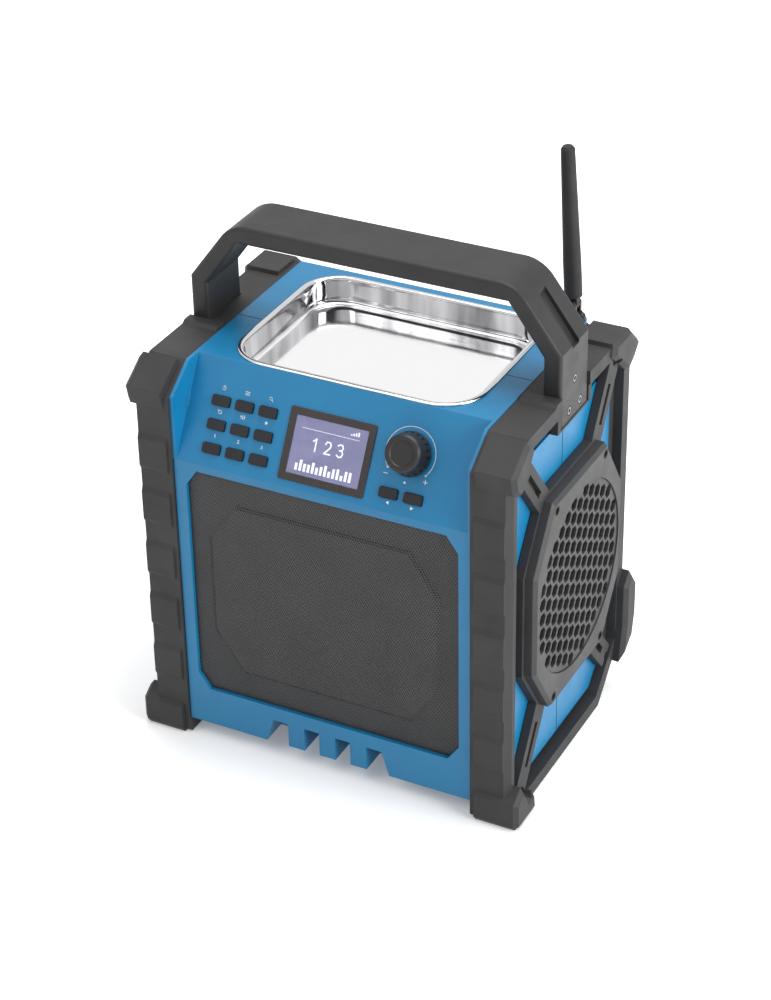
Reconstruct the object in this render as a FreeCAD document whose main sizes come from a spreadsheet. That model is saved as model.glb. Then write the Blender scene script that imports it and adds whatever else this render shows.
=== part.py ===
"""Jobsite radio: a blue two-part housing between two moulded side frames, with a steel tray and a handle.

Frame: +X to the right, +Y to the back, +Z up, millimetres. The origin is on the ground, under the
middle of the box.
"""

import FreeCAD, Part
import math
import os
import re

import Sketcher

V = FreeCAD.Vector
doc = FreeCAD.newDocument("radio")
sheet = doc.addObject("Spreadsheet::Sheet", "Sizes")

SIZES = [
    # housing
    ("core_half_width", 109),
    ("bulge_half_width", 130),
    ("front_face", 97),
    ("rear_face", 89),
    ("housing_bottom", 12.5),
    ("crease_height", 224.3),
    ("housing_top", 287.3),
    ("panel_run", 36),
    ("middle", -3.5),
    ("wall", 3),
    ("bulge_front", 80),
    ("bulge_rear", 76),
    ("bulge_bottom", 15),
    ("bulge_top", 264),
    ("cheek_wall", 2.4),
    ("cheek_rise", 46),
    ("cheek_run", 24),
    # bass vent
    ("vent_height", 31),
    ("vent_depth", 20),
    ("vent_slot", 11.5),
    ("vent_pitch", 24),
    ("vent_slope", 6),
    # front grille and woofer
    ("grille_half_width", 100),
    ("grille_bottom", 42),
    ("grille_top", 218.5),
    ("grille_cut_side", 12),
    ("grille_cut_end", 8.5),
    ("grille_recess", 4),
    ("grille_sheet", 1.2),
    ("grille_boss", 1.6),
    ("woofer_radius", 76),
    ("woofer_height", 131),
    # tray
    ("tray_half_width", 86.5),
    ("tray_front", -57.5),
    ("tray_rear", 74),
    ("tray_depth", 18.5),
    ("tray_corner", 26),
    ("tray_sheet", 1),
    ("tray_lip", 3),
    # display
    ("display_width", 62.4),
    ("display_rise", 4.6),
    ("display_length", 48.2),
    ("display_border", 5),
    ("display_proud", 0.8),
    # buttons
    ("button_width", 12.9),
    ("button_length", 6.6),
    ("button_proud", 1.8),
    ("button_reach", 9),
    ("button_column", -82.3),
    ("button_pitch", 17.57),
    ("button_row", 12.4),
    ("button_row_pitch", 16),
    ("skip_column", 47.9),
    ("button_travel", 1),
    ("running_gap", 0.2),
    # knob
    ("knob_across", 57.3),
    ("knob_up", 40),
    ("knob_skirt_radius", 14.8),
    ("knob_top_radius", 12.4),
    ("knob_height", 15),
    ("knob_dish_radius", 8.7),
    ("shaft_radius", 3),
    ("shaft_clearance", 0.05),
    # side frame
    ("frame_half_width", 137),
    ("frame_front", 99),
    ("frame_rear", 93),
    ("frame_bar", 10),
    ("frame_top", 287),
    ("guard_half_width", 145),
    ("shoulder_half_width", 141),
    ("guard_proud", 3),
    ("guard_bevel", 3),
    ("leg_chamfer", 3.5),
    ("arm_slot", 5),
    ("arm_width", 17),
    ("arm_inner", 130.3),
    # speaker guard
    ("guard_plate_face", 144.5),
    ("guard_height", 147.5),
    ("guard_half_long", 80),
    ("guard_half_short", 71),
    ("guard_top_half", 43),
    ("guard_side_half", 37.5),
    ("plate_bevel", 2.5),
    ("mesh_radius", 67),
    ("mesh_field", 62.5),
    ("mesh_pitch", 11.17),
    ("mesh_bar", 2.4),
    ("mesh_thickness", 2.5),
    # handle
    ("handle_half_width", 135.5),
    ("handle_top", 362),
    ("handle_thickness", 13),
    ("handle_front", -20),
    ("handle_depth", 44),
    ("handle_foot", 266),
    ("handle_slant_top", 103),
    ("handle_slant_foot", 318.5),
    ("handle_edge", 2.5),
    ("handle_groove", 11),
    # antenna
    ("antenna_across", 98),
    ("antenna_back", 86),
    ("antenna_pivot", 299),
    ("antenna_length", 113),
    ("antenna_foot_radius", 6.2),
    ("antenna_tip_radius", 4.8),
    ("antenna_lean", 3.4),
    ("pin_radius", 1.3),
    # inner pieces
    ("bushing_radius", 6),
    ("plunger_radius", 4.5),
    ("knob_gap", 1),
    ("knob_ribs", 20),
    ("board_sheet", 1.6),
    ("board_level", 20),
    ("boss_radius", 2.5),
    ("screw_head", 2.9),
    ("woofer_depth", 62),
    ("woofer_set", 7),
    ("driver_rim", 3),
    ("baffle", 15),
    ("side_driver_radius", 58),
    ("side_driver_depth", 40),
    ("side_driver_set", 5),
    ("rear_bevel", 30),
    ("antenna_boss", 26),
    ("cover_sheet", 2.2),
    # battery and sockets
    ("bay_depth", 42),
    ("hinge_radius", 2.6),
    ("hinge_half", 40),
    ("hinge_ear", 8),
    ("socket_left", 62),
    ("socket_width", 38),
    ("socket_low", 205),
    ("socket_rise", 16),
    ("socket_edge", 8),
    ("socket_pitch", 11),
    ("door_half_width", 62),
    ("door_bottom", 60),
    ("door_top", 170),
    ("door_thickness", 3),
]

for row, (name, value) in enumerate(SIZES, start=1):
    sheet.set(f"A{row}", name)
    sheet.set(f"B{row}", str(value))
    sheet.setAlias(f"B{row}", name)
doc.recompute()

WORDS = {name for name, _ in SIZES}


def bound(text):
    """The expression with each size named from the sheet."""
    return re.sub(r"[a-z_]+", lambda m: f"Sizes.{m.group()}" if m.group() in WORDS else m.group(), str(text))


def size(text):
    """The value of an expression of sizes, now."""
    return float(sheet.evalExpression(bound(text)))


SLOPE = size("atan2(housing_top - crease_height; panel_run)")
PANEL = FreeCAD.Placement(
    V(0, -size("front_face"), size("crease_height")), FreeCAD.Rotation(V(1, 0, 0), SLOPE)
)
LEVEL = FreeCAD.Placement()
nodes = []


class Piece:
    """One moulded or machined solid: a Body whose sketches are held by the sheet."""

    def __init__(self, label, place=LEVEL):
        self.body = doc.addObject("PartDesign::Body", label)
        self.body.Label = label
        self.place = place
        self.count = 0

    def sketch(self, plane, low, high):
        """A sketch on an origin plane, moved to where a prism from low to high starts."""
        role = {"x": "YZ_Plane", "y": "XZ_Plane"}.get(plane, "XY_Plane")
        face = next(f for f in self.body.Origin.OriginFeatures if f.Role == role)
        self.count += 1
        drawn = self.body.newObject("Sketcher::SketchObject", f"{self.body.Name}_outline_{self.count}")
        drawn.AttachmentSupport = (face, [""])
        drawn.MapMode = "FlatFace"
        if plane == "panel":
            drawn.AttachmentOffset = PANEL * FreeCAD.Placement(V(0, 0, size(low)), FreeCAD.Rotation())
            return drawn
        start = f"-({high})" if plane == "y" else f"{low}"
        drawn.setExpression("AttachmentOffset.Base.z", bound(start))
        return drawn

    def held_at(self, item, point, across, up):
        """The two constraints that hold a point of a sketch, with their expressions."""
        kinds = (("DistanceX", across), ("DistanceY", up))
        return [(Sketcher.Constraint(kind, -1, 1, item, point, size(text)), text) for kind, text in kinds]

    def constrain(self, drawn, rules):
        """Adds constraints together, and binds each that has an expression to the sheet."""
        first = drawn.ConstraintCount
        drawn.addConstraint([rule for rule, _ in rules])
        for index, (_, text) in enumerate(rules, start=first):
            if text is not None:
                drawn.setExpression(f"Constraints[{index}]", bound(text))

    def draw_polygon(self, drawn, points):
        corners = [V(size(across), size(up), 0) for across, up in points]
        first = drawn.GeometryCount
        for a, b in zip(corners, corners[1:] + corners[:1]):
            drawn.addGeometry(Part.LineSegment(a, b), False)
        last = len(points) - 1
        rules = []
        for i, (across, up) in enumerate(points):
            follower = first + (i + 1 if i < last else 0)
            rules.append((Sketcher.Constraint("Coincident", first + i, 2, follower, 1), None))
            rules += self.held_at(first + i, 1, across, up)
        self.constrain(drawn, rules)

    def draw_circle(self, drawn, across, up, radius):
        centre = V(size(across), size(up), 0)
        edge = drawn.addGeometry(Part.Circle(centre, V(0, 0, 1), size(radius)), False)
        rules = self.held_at(edge, 3, across, up)
        rules.append((Sketcher.Constraint("Radius", edge, size(radius)), radius))
        self.constrain(drawn, rules)

    def draw_rounded(self, drawn, x0, x1, y0, y1, radius):
        """A rectangle with round corners: four lines, and arcs held by their ends and radius."""
        ends = [
            (f"{x0} + {radius}", y0), (f"{x1} - {radius}", y0),
            (x1, f"{y0} + {radius}"), (x1, f"{y1} - {radius}"),
            (f"{x1} - {radius}", y1), (f"{x0} + {radius}", y1),
            (x0, f"{y1} - {radius}"), (x0, f"{y0} + {radius}"),
        ]
        at = [V(size(across), size(up), 0) for across, up in ends]
        centres = [
            V(at[1].x, at[2].y, 0), V(at[4].x, at[3].y, 0), V(at[5].x, at[6].y, 0), V(at[0].x, at[7].y, 0),
        ]
        lines = [drawn.addGeometry(Part.LineSegment(at[2 * k], at[2 * k + 1]), False) for k in range(4)]
        rules = []
        for k, line in enumerate(lines):
            for end in (0, 1):
                rules += self.held_at(line, end + 1, *ends[2 * k + end])
        for k, centre in enumerate(centres):
            start = math.radians(-90 + 90 * k)
            arc = Part.ArcOfCircle(Part.Circle(centre, V(0, 0, 1), size(radius)), start, start + math.pi / 2)
            edge = drawn.addGeometry(arc, False)
            rules.append((Sketcher.Constraint("Coincident", edge, 1, lines[k], 2), None))
            rules.append((Sketcher.Constraint("Coincident", edge, 2, lines[(k + 1) % 4], 1), None))
            rules.append((Sketcher.Constraint("Radius", edge, size(radius)), radius))
        self.constrain(drawn, rules)

    def prism(self, kind, plane, low, high, outlines, taper="0"):
        drawn = self.sketch(plane, low, high)
        for outline in outlines:
            if isinstance(outline, tuple) and len(outline) == 5:
                self.draw_rounded(drawn, *outline)
            elif isinstance(outline, list):
                self.draw_polygon(drawn, outline)
            else:
                self.draw_circle(drawn, *outline)
        feature = self.body.newObject(f"PartDesign::{kind}", f"{self.body.Name}_{kind.lower()}_{self.count}")
        feature.Profile = drawn
        feature.setExpression("Length", bound(f"({high}) - ({low})"))
        if size(taper):
            feature.setExpression("TaperAngle", bound(taper))
        if kind == "Pocket":
            feature.Reversed = True
        doc.recompute()
        return self

    def pad(self, plane, low, high, *outlines, taper="0"):
        return self.prism("Pad", plane, low, high, outlines, taper)

    def cut(self, plane, low, high, *outlines, taper="0"):
        before = self.body.Shape.Volume
        self.prism("Pocket", plane, low, high, outlines, taper)
        if self.body.Shape.Volume >= before - 1e-6:
            raise RuntimeError(f"{self.body.Label}: a cut takes nothing away")
        return self

    def spin(self, points):
        """A full turn of a profile (radius, height) about Z."""
        drawn = self.sketch("y", "0", "0")
        self.draw_polygon(drawn, points)
        turned = self.body.newObject("PartDesign::Revolution", f"{self.body.Name}_turned_{self.count}")
        turned.Profile = drawn
        turned.ReferenceAxis = (drawn, ["V_Axis"])
        turned.Angle = 360
        doc.recompute()
        return self

    def edges(self, test):
        """Names of the edges whose two end points pass a test."""
        names = []
        for i, edge in enumerate(self.body.Shape.Edges, start=1):
            ends = [vertex.Point for vertex in edge.Vertexes]
            if len(ends) == 2 and test(*ends):
                names.append(f"Edge{i}")
        return names

    def soften(self, kind, measure, test):
        """Fillet or Chamfer on the edges that pass a test."""
        names = self.edges(test)
        if not names:
            raise RuntimeError(f"{self.body.Label}: no edge to soften")
        tip = self.body.Tip
        feature = self.body.newObject(f"PartDesign::{kind}", f"{self.body.Name}_{kind.lower()}")
        feature.Base = (tip, names)
        feature.setExpression("Radius" if kind == "Fillet" else "Size", bound(measure))
        doc.recompute()
        return self

    def done(self):
        self.body.Placement = self.place
        nodes.append(self.body)
        return self.body


def box(x0, x1, y0, y1):
    """The corners of a rectangle, from its sides."""
    return [(x0, y0), (x1, y0), (x1, y1), (x0, y1)]


def inset(sides, gap):
    """The sides of a rectangle, moved in by a gap."""
    return tuple(f"({side}) {'+-'[k % 2]} {gap}" for k, side in enumerate(sides))


def octagon(across, up, half_across, half_up, flat_across, flat_up):
    """An eight-cornered outline about (across, up), flat on all four sides."""
    signs = [(1, -1), (1, 1), (-1, 1), (-1, -1)]
    points = []
    for sx, sy in signs:
        side = (f"{across} + {sx} * ({half_across})", f"{up} + {sy} * ({flat_up})")
        end = (f"{across} + {sx} * ({flat_across})", f"{up} + {sy} * ({half_up})")
        points += [end, side] if sx * sy < 0 else [side, end]
    return points


def mirrored(source, label):
    """The left-hand copy of a right-hand piece."""
    copy = doc.addObject("Part::Mirroring", label)
    copy.Source = source
    copy.Normal = V(1, 0, 0)
    copy.Label = label
    nodes.append(copy)
    return copy


def group(label, shapes, place=LEVEL):
    """Like pieces of one kind, each its own solid, in one node."""
    feature = doc.addObject("Part::Feature", label)
    feature.Shape = Part.makeCompound(shapes)
    feature.Label = label
    feature.Placement = place
    nodes.append(feature)
    return feature


GRILLE = octagon(
    "0",
    "(grille_bottom + grille_top) / 2",
    "grille_half_width",
    "(grille_top - grille_bottom) / 2",
    "(grille_half_width - grille_cut_end)",
    "((grille_top - grille_bottom) / 2 - grille_cut_side)",
)

TRAY_WELL = (
    "-tray_half_width - running_gap", "tray_half_width + running_gap",
    "tray_front - running_gap", "tray_rear + running_gap", "(tray_corner + running_gap)",
)
DOOR_HINGE = ("rear_face + hinge_radius", "door_top + hinge_radius + 1")
BUTTON_NAMES = [
    ["button_one", "button_two", "button_three"],
    ["button_back", "button_sound", "button_preset"],
    ["button_power", "button_mode", "button_scan"],
]


def button_places():
    """Name and centre of each button, on the control panel."""
    places = []
    for row, names in enumerate(BUTTON_NAMES):
        for column, name in enumerate(names):
            places.append((
                name, f"(button_column + {column} * button_pitch)", f"(button_row + {row} * button_row_pitch)"
            ))
    places.append(("button_previous", "skip_column", "button_row"))
    places.append(("button_next", "(skip_column + button_pitch)", "button_row"))
    return places


def around(across, up, grow="0"):
    """The sides of a button's outline, grown by a clearance."""
    half_width, half_length = f"(button_width / 2 + {grow})", f"(button_length / 2 + {grow})"
    return (
        f"{across} - {half_width}", f"{across} + {half_width}", f"{up} - {half_length}", f"{up} + {half_length}"
    )


BOARD_TOP = "(-button_reach - button_travel - 0.4)"
SCREEN = (
    "-display_width / 2 + display_border", "display_width / 2 - display_border",
    "display_rise + display_border", "display_rise + display_length - display_border",
)

FRAME_SCREWS = [
    ("-frame_front + 19", "frame_top - 16"), ("frame_rear - 26", "frame_top - 14"),
    ("-frame_front + 23", "15"), ("frame_rear - 25", "35"),
]
GUARD_SCREWS = [(f"middle + {a} * 39.6", f"guard_height + {b} * 73") for a in (-1, 1) for b in (-1, 1)]
HANDLE_SCREWS = [
    (f"handle_front + handle_depth / 2 + {a}", f"handle_foot + {b}") for a, b in ((-8, 7), (9, 7), (0, 27))
]


def side_seats(piece):
    """The stepped round holes in both side walls, where the side loudspeakers sit."""
    piece.cut("x", "-bulge_half_width - 1", "bulge_half_width + 1", (
        "middle", "guard_height", "side_driver_radius - 4.5"
    ))
    seat = ("middle", "guard_height", "side_driver_radius + running_gap")
    floor = "bulge_half_width - side_driver_set - driver_rim"
    piece.cut("x", floor, "bulge_half_width + 1", seat)
    piece.cut("x", "-bulge_half_width - 1", f"-({floor})", seat)


def front_housing():
    piece = Piece("front_housing")
    profile = [
        ("-front_face", "housing_bottom"),
        ("middle", "housing_bottom"),
        ("middle", "housing_top"),
        ("-front_face + panel_run", "housing_top"),
        ("-front_face", "crease_height"),
    ]
    piece.pad("x", "-core_half_width", "core_half_width", profile)
    side = box("-bulge_front", "middle", "bulge_bottom", "bulge_top")
    piece.pad("x", "core_half_width - wall", "bulge_half_width", side)
    piece.pad("x", "-bulge_half_width", "-core_half_width + wall", side)
    inside = [
        ("-front_face + wall", "housing_bottom + wall"),
        ("middle", "housing_bottom + wall"),
        ("middle", "housing_top - wall"),
        ("-front_face + panel_run + wall / 2", "housing_top - wall"),
        ("-front_face + wall", "crease_height - wall / 2"),
    ]
    piece.cut("x", "-core_half_width + wall", "core_half_width - wall", inside)
    cheek = [
        ("-front_face", "crease_height"),
        ("-front_face + panel_run", "housing_top"),
        ("-front_face + cheek_run", "housing_top"),
        ("-front_face", "crease_height + cheek_rise"),
    ]
    piece.pad("x", "core_half_width - cheek_wall", "core_half_width", cheek)
    piece.pad("x", "-core_half_width", "-core_half_width + cheek_wall", cheek)
    # a thicker baffle behind the grille, then its recess and the woofer's seat
    piece.pad("y", "-front_face", "-front_face + baffle", box(
        "-core_half_width + wall", "core_half_width - wall",
        "housing_bottom + wall", "crease_height - 2 * wall"
    ))
    piece.cut("y", "-front_face", "-front_face + grille_recess", GRILLE)
    piece.cut("y", "-front_face", "-front_face + woofer_set + driver_rim", (
        "0", "woofer_height", "woofer_radius + running_gap"
    ))
    piece.cut("y", "-front_face", "-front_face + baffle + 1", ("0", "woofer_height", "woofer_radius - 5"))
    # bass vent: a block of slots under the grille, closed behind
    piece.pad("y", "-front_face + wall", "-front_face + vent_depth + wall", box(
        "-2.4 * vent_pitch", "2.4 * vent_pitch", "housing_bottom", "vent_height + wall"
    ))
    outer = "(1.5 * vent_pitch + vent_slot / 2)"
    for side in (-1.5, -0.5, 0.5, 1.5):
        middle = f"({side} * vent_pitch)"
        left = f"{middle} - vent_slot / 2"
        right = f"{middle} + vent_slot / 2"
        foot_left = f"{left} - vent_slope" if side == -1.5 else left
        foot_right = f"{right} + vent_slope" if side == 1.5 else right
        slot = [
            (foot_left, "housing_bottom - 1"),
            (foot_right, "housing_bottom - 1"),
            (right, "vent_height"),
            (left, "vent_height"),
        ]
        piece.cut("y", "-front_face - 1", "-front_face + vent_depth", slot)
    # the tray's well in the top
    piece.cut("z", "housing_top - tray_depth - wall", "housing_top + 1", TRAY_WELL)
    # the round side openings behind the speaker guards
    side_seats(piece)
    # the control panel's bosses for the board, then its holes
    bosses = [(across, up, "boss_radius") for across in ("-89.5", "85") for up in ("5.6", "51.5")]
    piece.pad("panel", BOARD_TOP, "-wall / 2", *bosses)
    for _, across, up in button_places():
        piece.cut("panel", "-2 * wall", "wall", (*around(across, up, "running_gap"), "1"))
    piece.cut("panel", "-2 * wall", "wall", ("knob_across", "knob_up", "bushing_radius + running_gap"))
    piece.cut("panel", "-2 * wall", "wall", box(*SCREEN))
    return piece.done()


def rear_housing():
    piece = Piece("rear_housing")
    profile = [
        ("middle", "housing_bottom"),
        ("rear_face - rear_bevel", "housing_bottom"),
        ("rear_face", "housing_bottom + rear_bevel"),
        ("rear_face", "housing_top - 4"),
        ("rear_face - 4", "housing_top"),
        ("middle", "housing_top"),
    ]
    piece.pad("x", "-core_half_width", "core_half_width", profile)
    side = [
        ("middle", "bulge_bottom"), ("bulge_rear - 0.75 * rear_bevel", "bulge_bottom"),
        ("bulge_rear", "bulge_bottom + 0.75 * rear_bevel"), ("bulge_rear", "bulge_top"),
        ("middle", "bulge_top"),
    ]
    piece.pad("x", "core_half_width - wall", "bulge_half_width", side)
    piece.pad("x", "-bulge_half_width", "-core_half_width + wall", side)
    # the boss under the antenna stands out behind the rear wall
    piece.pad("z", "housing_top - antenna_boss", "housing_top", (
        "antenna_across", "antenna_back", "antenna_foot_radius + 3"
    ))
    inside = [
        ("middle", "housing_bottom + wall"), ("rear_face - rear_bevel - wall / 3", "housing_bottom + wall"),
        ("rear_face - wall", "housing_bottom + rear_bevel + wall / 3"),
        ("rear_face - wall", "housing_top - wall"),
        ("middle", "housing_top - wall"),
    ]
    piece.cut("x", "-core_half_width + wall", "core_half_width - wall", inside)
    piece.cut("z", "housing_top - tray_depth - wall", "housing_top + 1", TRAY_WELL)
    side_seats(piece)
    # the battery bay's mouth, smaller than its door
    piece.cut("y", "rear_face - wall - 1", "rear_face + 1", box(
        "-door_half_width + 4", "door_half_width - 4", "door_bottom + 4", "door_top - 4"
    ))
    # ears that hold the door's hinge pin
    for low, high in (
        ("-hinge_half - hinge_ear", "-hinge_half - running_gap"), ("hinge_half + running_gap", "hinge_half + hinge_ear")
    ):
        piece.pad("x", low, high, (*DOOR_HINGE, "hinge_radius"))
        piece.pad("x", low, high, box(
            "rear_face - 1", DOOR_HINGE[0], "door_top + 1", "door_top + 1 + 2 * hinge_radius"
        ))
    piece.cut("x", "-hinge_half - hinge_ear - 1", "hinge_half + hinge_ear + 1", (*DOOR_HINGE, "pin_radius"))
    piece.cut("y", "rear_face - wall - 1", "rear_face + 1", box(
        "socket_left", "socket_left + socket_width", "socket_low", "socket_low + socket_rise"
    ))
    # posts under the main board
    posts = [(x, y, "3") for x in ("-54", "54") for y in ("10", "46")]
    piece.pad("z", "housing_bottom + wall / 2", "board_level", *posts)
    return piece.done()


def side_frame():
    piece = Piece("right_side_frame")
    outline = [
        ("-frame_front", "3"),
        ("-frame_front + 3", "0"),
        ("frame_rear - 38", "0"),
        ("frame_rear", "38"),
        ("frame_rear", "frame_top - 13"),
        ("frame_rear - 9", "frame_top"),
        ("-frame_front + 26", "frame_top"),
        ("-frame_front", "frame_top - 17"),
    ]
    window = [
        ("-frame_front + frame_bar", "frame_bar"),
        ("frame_rear - 42", "frame_bar"),
        ("frame_rear - frame_bar", "42"),
        ("frame_rear - frame_bar", "frame_top - 22"),
        ("frame_rear - 20", "frame_top - frame_bar"),
        ("-frame_front + 30", "frame_top - frame_bar"),
        ("-frame_front + frame_bar", "frame_top - 24"),
    ]
    piece.pad("x", "core_half_width", "frame_half_width", outline)
    piece.cut("x", "core_half_width - 1", "frame_half_width + 1", window)
    # legs are thicker inboard, where they meet the housing
    piece.pad("x", "core_half_width", "bulge_half_width", box(
        "-frame_front + 1", "-bulge_front", "8", "frame_top - 18"
    ))
    piece.pad("x", "core_half_width", "bulge_half_width", box(
        "bulge_rear", "frame_rear - 1", "39", "frame_top - 14"
    ))
    # the arms from the corners to the speaker guard
    corners = [
        ("-frame_front + 19", "frame_top - 17", "middle - 40", "guard_height + 76"),
        ("frame_rear - 26", "frame_top - 14", "middle + 40", "guard_height + 76"),
        ("-frame_front + 21", "16", "middle - 40", "guard_height - 76"),
        ("frame_rear - 25", "35", "middle + 40", "guard_height - 76"),
    ]
    for y0, z0, y1, z1 in corners:
        length = f"sqrt(({y1} - ({y0}))^2 + ({z1} - ({z0}))^2)"
        off_y = f"(arm_width / 2 * ({z1} - ({z0})) / {length})"
        off_z = f"(arm_width / 2 * ({y1} - ({y0})) / {length})"
        arm = [
            (f"{y0} - {off_y}", f"{z0} + {off_z}"),
            (f"{y0} + {off_y}", f"{z0} - {off_z}"),
            (f"{y1} + {off_y}", f"{z1} - {off_z}"),
            (f"{y1} - {off_y}", f"{z1} + {off_z}"),
        ]
        piece.pad("x", "arm_inner", "frame_half_width - 0.5", arm)
    # the seat under the speaker guard
    seat = octagon("middle", "guard_height", "guard_half_short + 3", "guard_half_long + 3",
                   "guard_top_half + 1", "guard_side_half + 1")
    piece.pad("x", "arm_inner", "frame_half_width - 0.5", seat)
    piece.cut("x", "arm_inner - 1", "frame_half_width + 1", ("middle", "guard_height", "mesh_radius + 1"))
    # the chamfer along the front leg's outer edge
    piece.cut("z", "-1", "frame_top + 5", [
        ("frame_half_width - leg_chamfer", "-frame_front - 0.01"),
        ("frame_half_width + 1", "-frame_front - 0.01"),
        ("frame_half_width + 1", "-frame_front + 2 * leg_chamfer"),
    ])
    # a slot along each arm
    for y0, z0, y1, z1 in corners:
        length = f"sqrt(({y1} - ({y0}))^2 + ({z1} - ({z0}))^2)"
        off_y = f"(arm_slot / 2 * ({z1} - ({z0})) / {length})"
        off_z = f"(arm_slot / 2 * ({y1} - ({y0})) / {length})"
        from_y, from_z = f"({y0} + 0.26 * ({y1} - ({y0})))", f"({z0} + 0.26 * ({z1} - ({z0})))"
        to_y, to_z = f"({y0} + 0.74 * ({y1} - ({y0})))", f"({z0} + 0.74 * ({z1} - ({z0})))"
        piece.cut("x", "frame_half_width - 4.5", "frame_half_width", [
            (f"{from_y} - {off_y}", f"{from_z} + {off_z}"), (f"{from_y} + {off_y}", f"{from_z} - {off_z}"),
            (f"{to_y} + {off_y}", f"{to_z} - {off_z}"), (f"{to_y} - {off_y}", f"{to_z} + {off_z}"),
        ])
    # corner guards that stand out from the frame, with bevelled faces
    feet = [
        [("-frame_front - guard_proud", "4"), ("-frame_front", "0"), ("-frame_front + 30", "0"),
         ("-frame_front + 28", "14"), ("-bulge_front - 1", "bulge_bottom - 0.5"), ("-frame_front + 9", "30"),
         ("-frame_front - guard_proud", "22")],
        [("frame_rear - 14", "24"), ("frame_rear + 5", "38"), ("frame_rear + 9", "56"),
         ("frame_rear + 9", "82"), ("frame_rear", "94"), ("frame_rear - 9", "84"), ("frame_rear - 9", "52")],
    ]
    shoulders = [
        [("-frame_front - guard_proud", "frame_top - 13"), ("-frame_front + 20", "frame_top + 2"),
         ("-frame_front + 30", "frame_top - 6"), ("-frame_front + 10", "frame_top - 32"),
         ("-frame_front", "frame_top - 26")],
        [("frame_rear + 9", "frame_top - 13"), ("frame_rear - 8", "frame_top + 3"),
         ("frame_rear - 34", "frame_top + 3"), ("frame_rear - 36", "frame_top - 6"),
         ("frame_rear - 10", "frame_top - 28"), ("frame_rear", "frame_top - 22")],
    ]
    for face, guards in (("guard_half_width", feet), ("shoulder_half_width", shoulders)):
        for guard in guards:
            piece.pad("x", "core_half_width + 4", f"{face} - guard_bevel", guard)
            piece.pad("x", f"{face} - guard_bevel", face, guard, taper="-45")
    # ribs down the front leg
    for i in range(5):
        foot = f"(44 + {i} * 42)"
        rib = [
            ("-frame_front", f"{foot}"),
            ("-frame_front - 1.5", f"{foot} + 3"),
            ("-frame_front - 1.5", f"{foot} + 24"),
            ("-frame_front", f"{foot} + 28"),
        ]
        piece.pad("x", "core_half_width + 3", "frame_half_width - leg_chamfer", rib)
    # the lip of the top rail in front of the handle
    piece.pad("x", "core_half_width + 2", "frame_half_width", [
        ("handle_front - 11", "frame_top - 1"), ("handle_front - running_gap", "frame_top - 1"),
        ("handle_front - running_gap", "frame_top + 2"), ("handle_front - 8", "frame_top + 2"),
        ("handle_front - 11", "frame_top"),
    ])
    for y, z in FRAME_SCREWS:
        piece.cut("x", "frame_half_width - 4.4", "guard_half_width", (y, z, "screw_head"))
    # the block that the handle's leg is screwed to, and the notch that the leg passes through
    piece.pad("x", "core_half_width", "frame_half_width - 1", box(
        "handle_front - 5", "handle_front + handle_depth + 5", "bulge_top + 0.3", "frame_top - 1"
    ))
    piece.cut("x", "handle_half_width - handle_thickness", "guard_half_width", box(
        "handle_front - running_gap", "handle_front + handle_depth + running_gap",
        "handle_foot - running_gap", "frame_top + 5"
    ))
    return piece.done()


def speaker_guard():
    piece = Piece("right_speaker_guard")
    plate = octagon(
        "middle", "guard_height", "guard_half_short", "guard_half_long", "guard_top_half", "guard_side_half"
    )
    piece.pad("x", "frame_half_width - 0.5", "guard_plate_face - plate_bevel", plate)
    piece.pad("x", "guard_plate_face - plate_bevel", "guard_plate_face", plate, taper="-45")
    piece.cut("x", "frame_half_width - 1", "guard_plate_face + 1", (
        "middle", "guard_height", "mesh_radius - 3"
    ))
    piece.cut("x", "guard_plate_face - mesh_thickness - 1", "guard_plate_face + 1", (
        "middle", "guard_height", "mesh_radius"
    ))
    for y, z in GUARD_SCREWS:
        piece.cut("x", "guard_plate_face - 4.4", "guard_plate_face + 1", (y, z, "screw_head"))
    return piece.done()


def hexagon(centre, across_flats, height):
    """A six-sided prism along X, flat side up, standing on its centre."""
    reach = across_flats / math.sqrt(3)
    corners = [centre + V(0, reach * math.cos(a), reach * math.sin(a)) for a in
               (math.radians(60 * k) for k in range(6))]
    return Part.Face(Part.makePolygon(corners + corners[:1])).extrude(V(height, 0, 0))


def speaker_mesh():
    """A round mesh of six-sided holes, its rim let into the guard."""
    radius = size("mesh_radius - 0.3")
    pitch, bar, depth = size("mesh_pitch"), size("mesh_bar"), size("mesh_thickness")
    face, middle, height = size("guard_plate_face"), size("middle"), size("guard_height")
    start = face - depth - 1
    disc = Part.makeCylinder(radius, depth, V(start, middle, height), V(1, 0, 0))
    holes = []
    reach = int(radius / pitch) + 2
    for column in range(-reach, reach + 1):
        across = column * pitch * math.cos(math.radians(30))
        for row in range(-reach, reach + 1):
            up = (row + (column % 2) / 2) * pitch
            if math.hypot(across, up) < size("mesh_field"):
                holes.append(hexagon(V(start - 1, middle + across, height + up), pitch - bar, depth + 2))
    piece = doc.addObject("Part::Feature", "right_speaker_mesh")
    piece.Shape = disc.cut(Part.makeCompound(holes))
    piece.Label = "right_speaker_mesh"
    nodes.append(piece)
    return piece


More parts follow.
